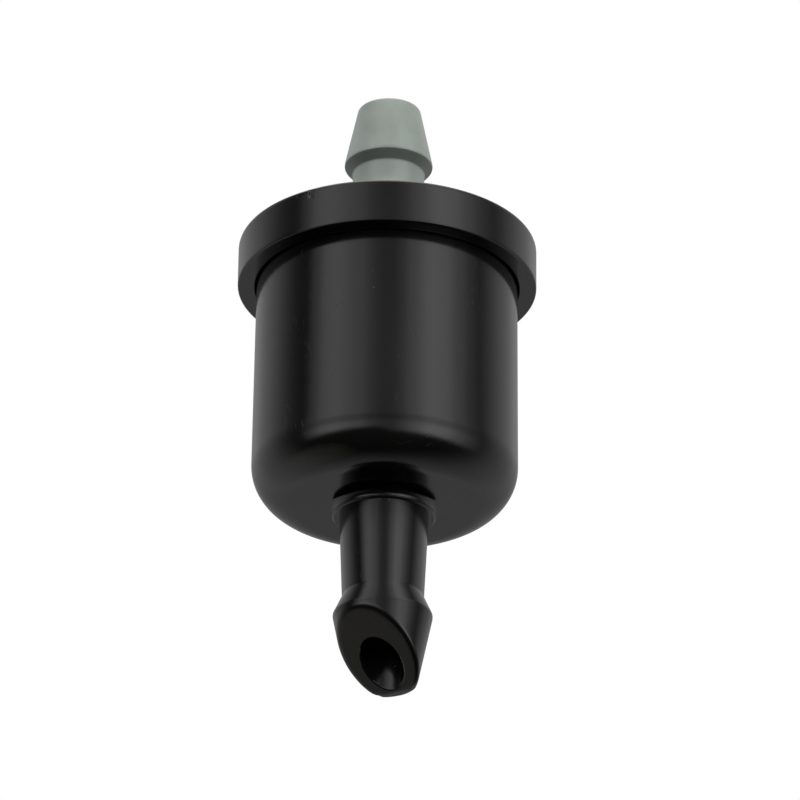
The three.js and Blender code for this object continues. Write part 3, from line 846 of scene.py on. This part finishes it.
def coil_spring():
    """A compression spring with closed end coils, built at one length; the plunger squeezes it from below
    as it lifts.
    """
    low, high = box_mm("check_spring")
    start_z, end_z = low.z + SPRING_WIRE_R, high.z - SPRING_WIRE_R
    closed_rise = SPRING_END_TURNS * SPRING_CLOSED_PITCH
    steps = round(SPRING_TURNS * 40)
    route = []
    for i in range(steps + 1):
        turn = SPRING_TURNS * i / steps
        from_end = min(turn, SPRING_TURNS - turn)
        if from_end < SPRING_END_TURNS:
            rise = closed_rise * from_end / SPRING_END_TURNS
            z = start_z + rise if turn < SPRING_TURNS / 2 else end_z - rise
        else:
            share = (turn - SPRING_END_TURNS) / (SPRING_TURNS - 2 * SPRING_END_TURNS)
            z = start_z + closed_rise + (end_z - start_z - 2 * closed_rise) * share
        angle = 2 * math.pi * turn
        route.append(Vector((SPRING_COIL_R * math.cos(angle), SPRING_COIL_R * math.sin(angle), z)))
    points, faces = swept(route, SPRING_WIRE_R, 14)
    mesh = bpy.data.meshes.new("coil_spring")
    mesh.from_pydata(points, [], faces)
    piece = placed(finished("coil_spring", mesh, SPRING_STEEL), "check_spring", "shell")
    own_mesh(piece)
    return piece


# ---- Pieces joined and cut from rings and bars ----


def applied(piece):
    """The piece with its modifiers turned into mesh."""
    graph = bpy.context.evaluated_depsgraph_get()
    shaped = bpy.data.meshes.new_from_object(piece.evaluated_get(graph))
    piece.modifiers.clear()
    piece.data = shaped
    return piece


def bars(sizes):
    """Loose bars as one object: each is (radial size, width, height, radius, middle height, angle)."""
    work = bmesh.new()
    for radial, width, height, radius, z, angle in sizes:
        place = Matrix.Rotation(angle, 4, "Z") @ Matrix.Translation(Vector((radius, 0, z)) * MM)
        size = Matrix.Diagonal((radial * MM, width * MM, height * MM, 1))
        bmesh.ops.create_cube(work, size=1.0, matrix=place @ size)
    mesh = bpy.data.meshes.new("bars")
    work.to_mesh(mesh)
    work.free()
    made = bpy.data.objects.new("bars", mesh)
    bpy.context.scene.collection.objects.link(made)
    return made


def shaped_by(piece, other, operation):
    """The piece joined with or cut by another, which is used up."""
    change = piece.modifiers.new("shape", "BOOLEAN")
    change.operation = operation
    change.solver = "EXACT"
    change.object = other
    applied(piece)
    bpy.data.objects.remove(other)
    return piece


def edges_broken(piece, width, material):
    """The piece with its sharp edges rounded by a fine bevel."""
    change = piece.modifiers.new("edges", "BEVEL")
    change.width = width * MM
    change.segments = 2
    change.limit_method = "ANGLE"
    change.angle_limit = math.radians(50)
    applied(piece)
    mesh = piece.data
    mesh.shade_smooth()
    mesh.set_sharp_from_angle(angle=math.radians(38))
    mesh.materials.clear()
    mesh.materials.append(material)
    return piece


def square_section(inner_r, outer_r, low_z, high_z):
    """The outline of a plain ring."""
    return [Vector(p) for p in ((inner_r, low_z), (outer_r, low_z), (outer_r, high_z), (inner_r, high_z))]


def spoked_guide():
    """The ring on the bowl's ledge, its four spokes and the hub that the plunger's stem runs in."""
    low, high = box_mm("valve_guide")
    ring_outline = square_section(GUIDE_RING_INNER_R, high.x, low.z, GUIDE_RING_TOP_Z)
    ring = turned("spoked_guide", lambda angle: ring_outline, angles_round(INNER_SIDES), NATURAL_PLASTIC)
    hub_outline = square_section(GUIDE_HUB_BORE_R, GUIDE_HUB_R, SPRING_TOP_Z, high.z)
    hub = turned("hub", lambda angle: hub_outline, angles_round(INNER_SIDES // 2), NATURAL_PLASTIC)
    reach = GUIDE_RING_INNER_R - GUIDE_HUB_R + 0.8
    middle = (GUIDE_RING_INNER_R + GUIDE_HUB_R) / 2
    height = GUIDE_RING_TOP_Z - SPRING_TOP_Z - 2 * FIT_GAP
    middle_z = (GUIDE_RING_TOP_Z + SPRING_TOP_Z) / 2
    spokes = [
        (reach, GUIDE_SPOKE_WIDTH, height, middle, middle_z, 2 * math.pi * i / GUIDE_SPOKES)
        for i in range(GUIDE_SPOKES)
    ]
    shaped_by(ring, hub, "UNION")
    shaped_by(ring, bars(spokes), "UNION")
    edges_broken(ring, 0.05, NATURAL_PLASTIC)
    return placed(ring, "valve_guide", "shell")


def mesh_frame():
    """The ring with a recess for the filter mesh, and the cross over it."""
    low, high = box_mm("filter_frame")
    mesh_low, mesh_high = box_mm("filter_mesh")
    inner_r = mesh_high.x - FILTER_LEDGE
    recess_r = inner_r + FILTER_RECESS
    outline = rounded(
        [
            (inner_r, low.z),
            (high.x, low.z),
            (high.x, high.z),
            (recess_r, high.z),
            (recess_r, mesh_low.z - FIT_GAP),
            (inner_r, mesh_low.z - FIT_GAP),
        ]
    )
    ring = turned("mesh_frame", lambda angle: outline, angles_round(INNER_SIDES), NATURAL_PLASTIC)
    bar_low = mesh_high.z + FIT_GAP
    height = high.z - bar_low - FIT_GAP / 2
    for angle in (0, math.pi / 2):
        bar = (2 * inner_r + 1, FILTER_BAR_WIDTH, height, 0, bar_low + height / 2, angle)
        shaped_by(ring, bars([bar]), "UNION")
    edges_broken(ring, 0.03, NATURAL_PLASTIC)
    return placed(ring, "filter_frame", "shell")


def woven_wire(k, across, rim_r, wire_r, middle_z):
    """The waved route of the k-th wire from the middle, along X or, if it runs across, along Y."""
    offset = k * WEAVE_PITCH
    half = math.sqrt(rim_r**2 - offset**2)
    steps = max(4, round(2 * half / WEAVE_PITCH * 4))
    route = []
    for i in range(steps + 1):
        s = -half + 2 * half * i / steps
        z = middle_z + wire_r * math.cos(math.pi * (s / WEAVE_PITCH + k + across))
        route.append(Vector((offset, s, z) if across else (s, offset, z)))
    return route


def woven_mesh():
    """A plain weave of steel wires over and under each other, bound by a flat rim."""
    low, high = box_mm("filter_mesh")
    wire_r = (high.z - low.z) / 4
    middle_z = (high.z + low.z) / 2
    rim_r = high.x - WEAVE_EDGE
    count = int(rim_r / WEAVE_PITCH)
    points, faces = [], []
    for across in (0, 1):
        for k in range(-count, count + 1):
            wire_points, wire_faces = swept(woven_wire(k, across, rim_r, wire_r, middle_z), wire_r, 6)
            faces += [tuple(v + len(points) for v in face) for face in wire_faces]
            points += wire_points
    mesh = bpy.data.meshes.new("wires")
    mesh.from_pydata(points, [], faces)
    wires = bpy.data.objects.new("wires", mesh)
    bpy.context.scene.collection.objects.link(wires)
    outline = rounded(
        [
            (rim_r - WEAVE_RIM, low.z, 0.02),
            (high.x, low.z, 0.02),
            (high.x, high.z, 0.02),
            (rim_r - WEAVE_RIM, high.z, 0.02),
        ]
    )
    piece = turned("woven_mesh", lambda angle: outline, angles_round(INNER_SIDES), STEEL_MESH)
    work = bmesh.new()
    work.from_mesh(piece.data)
    work.from_mesh(mesh)
    work.to_mesh(piece.data)
    work.free()
    bpy.data.objects.remove(wires)
    piece.data.shade_smooth()
    piece.data.set_sharp_from_angle(angle=math.radians(50))
    return placed(piece, "filter_mesh", "shell")


# ---- Labyrinth and pressure-compensating part ----


def labyrinth():
    """The core: a ring with a toothed channel twice round it, and passages from turn to turn.

    Each passage is (lower end, upper end, side of the stop that it lies on).
    """
    low, high = box_mm("labyrinth_core")
    outer_r = high.x
    channel_r = outer_r - CHANNEL_DEPTH
    outline = [(CORE_WELL_R, low.z), (outer_r, low.z)]
    for channel_z in CHANNEL_LOW_ZS:
        outline += [
            (outer_r, channel_z),
            (channel_r, channel_z),
            (channel_r, channel_z + CHANNEL_HEIGHT),
            (outer_r, channel_z + CHANNEL_HEIGHT),
        ]
    outline += [(outer_r, high.z), (CORE_WELL_R, high.z)]
    points = [Vector(p) for p in outline]
    core = turned("labyrinth", lambda angle: points, angles_round(INNER_SIDES), GREY_CORE)
    pitch = 2 * math.pi / (TEETH_PER_TURN + 2)
    tooth_r = outer_r - CHANNEL_DEPTH / 2 - TOOTH_SINK
    teeth = []
    for channel_z in CHANNEL_LOW_ZS:
        for i in range(TEETH_PER_TURN):
            from_below = channel_z + TOOTH_HEIGHT / 2 - TOOTH_LAP
            from_above = channel_z + CHANNEL_HEIGHT - TOOTH_HEIGHT / 2 + TOOTH_LAP
            z = from_below if i % 2 == 0 else from_above
            teeth.append((CHANNEL_DEPTH, TOOTH_WIDTH, TOOTH_HEIGHT, tooth_r, z, (i + 1.5) * pitch))
        stop_z = channel_z + CHANNEL_HEIGHT / 2
        stop_height = CHANNEL_HEIGHT + 2 * TOOTH_LAP
        teeth.append((CHANNEL_DEPTH, TOOTH_WIDTH, stop_height, tooth_r, stop_z, 0.0))
    shaped_by(core, bars(teeth), "UNION")
    first_z, second_z = CHANNEL_LOW_ZS
    passages = [
        (low.z - 1, first_z + PASSAGE_END, 1),
        (first_z + PASSAGE_START, second_z + PASSAGE_END, -1),
        (second_z + PASSAGE_START, high.z + 1, 1),
    ]
    turn = PASSAGE_TURN * pitch
    cuts = [
        (2 * CHANNEL_DEPTH, PASSAGE_WIDTH, top - bottom, outer_r, (top + bottom) / 2, side * turn)
        for bottom, top, side in passages
    ]
    shaped_by(core, bars(cuts), "DIFFERENCE")
    edges_broken(core, 0.03, GREY_CORE)
    return placed(core, "labyrinth_core", "shell")


def silicone_disc():
    """The diaphragm: a soft disc with rounded rim and a shallow moulded ring in each face."""
    low, high = box_mm("diaphragm")
    inner_r, outer_r = DIAPHRAGM_RING["inner"], DIAPHRAGM_RING["outer"]
    slope, depth = DIAPHRAGM_RING["slope"], DIAPHRAGM_RING["depth"]
    outline = rounded(
        [
            (0, low.z),
            (inner_r, low.z, 0.1),
            (inner_r + slope, low.z + depth, 0.1),
            (outer_r - slope, low.z + depth, 0.1),
            (outer_r, low.z, 0.1),
            (high.x, low.z, 0.15),
            (high.x, high.z, 0.15),
            (outer_r, high.z, 0.1),
            (outer_r - slope, high.z - depth, 0.1),
            (inner_r + slope, high.z - depth, 0.1),
            (inner_r, high.z, 0.1),
            (0, high.z),
        ]
    )
    piece = turned("silicone_disc", lambda angle: outline, angles_round(INNER_SIDES), SILICONE)
    return placed(piece, "diaphragm", "membrane")


def throttle_seat():
    """The disc over the diaphragm, with its recess, metering lip, groove, exit hole and inlet port."""
    low, high = box_mm("metering_seat")
    membrane_high = box_mm("diaphragm")[1]
    recess_r = membrane_high.x + 4 * FIT_GAP
    recess_top = membrane_high.z + DIAPHRAGM_TRAVEL + FIT_GAP
    lip_z = recess_top + THROTTLE_GAP
    chamber_top = lip_z + METER_LIP_HEIGHT
    outline = [
        (EXIT_HOLE_R, lip_z),
        (METER_LIP_R, lip_z),
        (METER_LIP_R, chamber_top),
        (CHAMBER_R, chamber_top),
        (CHAMBER_R, recess_top),
        (recess_r, recess_top),
        (recess_r, low.z),
        (high.x, low.z),
        (high.x, high.z),
        (EXIT_HOLE_R, high.z),
    ]
    points = [Vector(p) for p in outline]
    seat = turned("throttle_seat", lambda angle: points, angles_round(INNER_SIDES), NATURAL_PLASTIC)
    groove_middle = (METER_LIP_R + EXIT_HOLE_R) / 2
    groove_reach = METER_LIP_R - EXIT_HOLE_R + 0.4
    groove = (groove_reach, METER_GROOVE["width"], 2 * METER_GROOVE["depth"], groove_middle, lip_z, 0.0)
    port_reach = high.x - CHAMBER_R + 0.6
    port_angle = PASSAGE_TURN * 2 * math.pi / (TEETH_PER_TURN + 2)
    port_middle = CHAMBER_R - 0.3 + port_reach / 2
    port_z = recess_top + PORT_HEIGHT / 2
    port = (port_reach, PASSAGE_WIDTH, PORT_HEIGHT, port_middle, port_z, port_angle)
    shaped_by(seat, bars([groove, port]), "DIFFERENCE")
    edges_broken(seat, 0.03, NATURAL_PLASTIC)
    return placed(seat, "metering_seat", "shell")


body_shell()
cap_ring()
outlet_barb()
seal_ring("cap_o_ring", "cap_seal_ring")
seal_ring("outlet_o_ring", "outlet_seal_ring")
core_gasket()
sealing_disc()
lifting_plunger()
coil_spring()
spoked_guide()
mesh_frame()
woven_mesh()
labyrinth()
silicone_disc()
throttle_seat()


# ---- Floor, lights and world, in metres ----

FLOOR_Z = -0.42
FLOOR_HALF = 4.0


def stage_floor():
    """A plain pale floor, which the object neither mirrors nor takes light from."""
    mesh = bpy.data.meshes.new("floor")
    corners = [(-1, -1), (1, -1), (1, 1), (-1, 1)]
    mesh.from_pydata([(x * FLOOR_HALF, y * FLOOR_HALF, FLOOR_Z) for x, y in corners], [], [(0, 1, 2, 3)])
    material, tree, shader = new_material("floor_paint", (0.86, 0.86, 0.86), 0.7)
    cloud = noise(tree, stretched_place(tree, (1, 1, 1)), 3.0)
    mixed = mixed_colour(tree, cloud, (0.85, 0.85, 0.85), (0.87, 0.87, 0.87))
    tree.links.new(mixed, shader.inputs["Base Color"])
    mesh.materials.append(material)
    floor = bpy.data.objects.new("floor", mesh)
    bpy.context.scene.collection.objects.link(floor)
    floor.visible_glossy = False
    floor.visible_diffuse = False


# Radiance of the tent in front, behind and above
TENT_DIM = 0.03
TENT_BEHIND = 0.55
TENT_ABOVE = 1.8

# Radiance of the two softboxes round the object: azimuth in degrees, 0 in front and positive to the right.
SOFTBOXES = [
    (-88, 0.0),
    (-74, 0.03),
    (-64, 0.5),
    (-54, 1.15),
    (-45, 1.3),
    (-23, 0.88),
    (-10, 0.42),
    (-3, 0.28),
    (6, 0.28),
    (14, 0.5),
    (22, 0.95),
    (40, 1.7),
    (52, 1.5),
    (66, 0.8),
    (79, 0.32),
    (90, 0.0),
]
SOFTBOX_REACH = 100.0  # degrees to each side that the list may cover
SOFTBOX_PEAK = 2.0
SOFTBOX_LOW = -17.0  # elevation of the left one's lower edge
SOFTBOX_RIGHT_DROP = 9.0  # the right one reaches this much lower
SOFTBOX_HIGH = 47.0
SOFTBOX_FADE = 7.0
SOFTBOX_DIP = {"from": 22, "to": 13, "share": 0.72}  # downwards, in degrees, the boxes first get dimmer
SOFTBOX_GLOW = {"from": 8, "to": -6, "share": 1.75}  # and then brighter, towards their lower edge


def softbox_light(tree, azimuth, elevation):
    """Two soft windows of light, left and right of the front, each with soft upper and lower edges."""
    place = ramp(tree, azimuth, -SOFTBOX_REACH, SOFTBOX_REACH)
    around = node(tree, "ShaderNodeValToRGB")
    around.color_ramp.interpolation = "EASE"
    stops = around.color_ramp.elements
    while len(stops) < len(SOFTBOXES):
        stops.new(1.0)
    for stop, (degrees, _) in zip(stops, SOFTBOXES):
        stop.position = 0.5 + 0.5 * degrees / SOFTBOX_REACH
    for stop, (_, radiance) in zip(stops, SOFTBOXES):
        stop.color = (*[radiance / SOFTBOX_PEAK] * 3, 1)
    tree.links.new(place, around.inputs["Fac"])
    dropped = combined(tree, "ADD", elevation, ramp(tree, azimuth, -6, 6, 0, SOFTBOX_RIGHT_DROP))
    lower = smooth(tree, dropped, SOFTBOX_LOW - SOFTBOX_FADE, SOFTBOX_LOW + SOFTBOX_FADE)
    upper = smooth(tree, elevation, SOFTBOX_HIGH + SOFTBOX_FADE, SOFTBOX_HIGH - SOFTBOX_FADE)
    level = combined(tree, "MULTIPLY", lower, upper)
    level = combined(tree, "MULTIPLY", level, SOFTBOX_PEAK)
    for change in (SOFTBOX_DIP, SOFTBOX_GLOW):
        share = smooth(tree, elevation, change["from"], change["to"], 1.0, change["share"])
        level = combined(tree, "MULTIPLY", level, share)
    return combined(tree, "MULTIPLY", level, around.outputs["Color"])


def tent_light(tree, y, z):
    """A white tent behind and above the object, dim in front, straight behind and low down."""
    behind = smooth(tree, y, -0.25, 0.5, TENT_DIM, TENT_BEHIND)
    straight_behind = smooth(tree, y, 0.72, 0.95, 1.0, 0.55)
    level = ramp(tree, z, -1.0, -0.6, 0.6, 1.0)
    above = smooth(tree, z, 0.76, 0.9, 0.0, TENT_ABOVE)
    tent = combined(tree, "MULTIPLY", combined(tree, "MULTIPLY", behind, straight_behind), level)
    return combined(tree, "MAXIMUM", tent, above)


def studio_world():
    """A plain white backdrop, with soft light from two boxes in front and a tent behind."""
    world = bpy.data.worlds.new("studio")
    world.use_nodes = True
    tree = world.node_tree
    background = tree.nodes["Background"]
    coordinates = node(tree, "ShaderNodeTexCoord")
    parts = node(tree, "ShaderNodeSeparateXYZ")
    tree.links.new(coordinates.outputs["Generated"], parts.inputs["Vector"])
    x, y, z = (parts.outputs[axis] for axis in "XYZ")
    forward = combined(tree, "MULTIPLY", y, -1.0)
    azimuth = combined(tree, "MULTIPLY", combined(tree, "ARCTAN2", x, forward), math.degrees(1))
    elevation = combined(tree, "MULTIPLY", combined(tree, "ARCSINE", z, 0.0), math.degrees(1))
    light = combined(tree, "ADD", softbox_light(tree, azimuth, elevation), tent_light(tree, y, z))
    seen = node(tree, "ShaderNodeLightPath")
    strength = combined(tree, "MAXIMUM", light, seen.outputs["Is Camera Ray"])
    background.inputs["Color"].default_value = (1, 1, 1, 1)
    tree.links.new(strength, background.inputs["Strength"])
    bpy.context.scene.world = world


stage_floor()
studio_world()


# ---- Camera ----

CAMERA_ELEVATION = math.radians(-26.0)
CAMERA_ROLL = math.radians(0.68)
LENS_MM = 225.0
SENSOR_MM = 36.0
PICTURE_WIDTH = 41.667  # millimetres across the whole picture, at the distance of the axis
AIM_Z = 7.29  # height on the axis that the camera looks level with
AIM_OFFSET = Vector((0.75, -0.208))  # right and up in the picture, from that point to the picture's centre


def camera():
    """Looks up at the emitter from below, with a long lens, rolled a little and aimed off the axis."""
    data = bpy.data.cameras.new("camera")
    data.lens = LENS_MM
    data.sensor_width = SENSOR_MM
    data.clip_start, data.clip_end = 0.01, 20.0
    eye = bpy.data.objects.new("camera", data)
    distance = PICTURE_WIDTH * LENS_MM / SENSOR_MM * MM
    back = Vector((0, -math.cos(CAMERA_ELEVATION), math.sin(CAMERA_ELEVATION)))
    roll = Matrix.Rotation(CAMERA_ROLL, 4, "Z")
    turn = back.to_track_quat("Z", "Y").to_matrix().to_4x4() @ roll
    offset = turn.to_3x3() @ Vector((AIM_OFFSET.x, AIM_OFFSET.y, 0)) * MM
    eye.matrix_world = Matrix.Translation(Vector((0, 0, AIM_Z)) * MM + offset + back * distance) @ turn
    bpy.context.scene.collection.objects.link(eye)
    bpy.context.scene.camera = eye


camera()
bpy.context.scene.view_settings.view_transform = "Standard"
